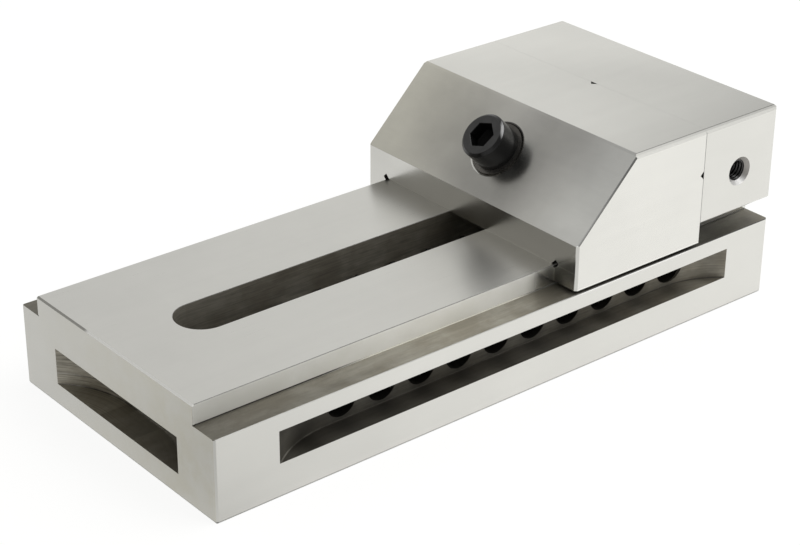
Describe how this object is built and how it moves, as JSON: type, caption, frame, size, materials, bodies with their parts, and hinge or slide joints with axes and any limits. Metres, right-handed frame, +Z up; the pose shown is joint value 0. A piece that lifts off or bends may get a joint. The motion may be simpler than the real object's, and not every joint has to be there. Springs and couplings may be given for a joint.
{
  "type": "precision grinding vise",
  "caption": "Low ground-steel vise: a sloped jaw slides on a rail against a fixed jaw and is pulled down by an angled socket screw and a cross nut in notches.",
  "frame": {"origin": "middle of the underside, on the surface the vise stands on", "axes": "+X along the vise towards the fixed jaw, +Y across it to the far side, +Z up"},
  "size_m": [0.33, 0.15, 0.1],
  "materials": {
    "ground_body": "surface ground",
    "ground_jaw": "surface ground",
    "black_screw": "black oxide, satin",
    "black_washer": "black oxide, satin",
    "plain_washer": "plain steel",
    "spring_wire": "spring steel, oiled",
    "dark_nut": "hardened, dark and oiled"
  },
  "bodies": {
    "body": {"vise_body": "ground_body"},
    "jaw": {"movable_jaw": "ground_jaw"},
    "swivel": {"swivel_washer": "black_washer", "spring_washer": "plain_washer", "screw_spring": "spring_wire"},
    "screw": {"clamping_screw": "black_screw", "retaining_ring": "spring_wire"},
    "nut": {"cross_nut": "dark_nut"}
  },
  "joints": [
    {"name": "jaw_slide", "type": "slide", "parent": "body", "child": "jaw", "axis": [-1, 0, 0], "range_m": [0, 0.1998]},
    {"name": "screw_swing", "type": "hinge", "parent": "jaw", "child": "swivel", "pos_m": [0.04119, 0, 0.09376], "axis": [0, 1, 0], "range_deg": [0, 4.5]},
    {"name": "screw_turn", "type": "hinge", "parent": "swivel", "child": "screw", "pos_m": [0.04119, 0, 0.09376], "axis": [0.7071, 0, -0.7071], "range_deg": [0, 1260]},
    {"name": "nut_travel", "type": "slide", "parent": "swivel", "child": "nut", "axis": [-0.7071, 0, 0.7071], "range_m": [0, 0.007]}
  ],
  "couplings": [
    {"joint": "screw_turn", "follows": "nut_travel", "rad_per_m": 3141.6}
  ]
}
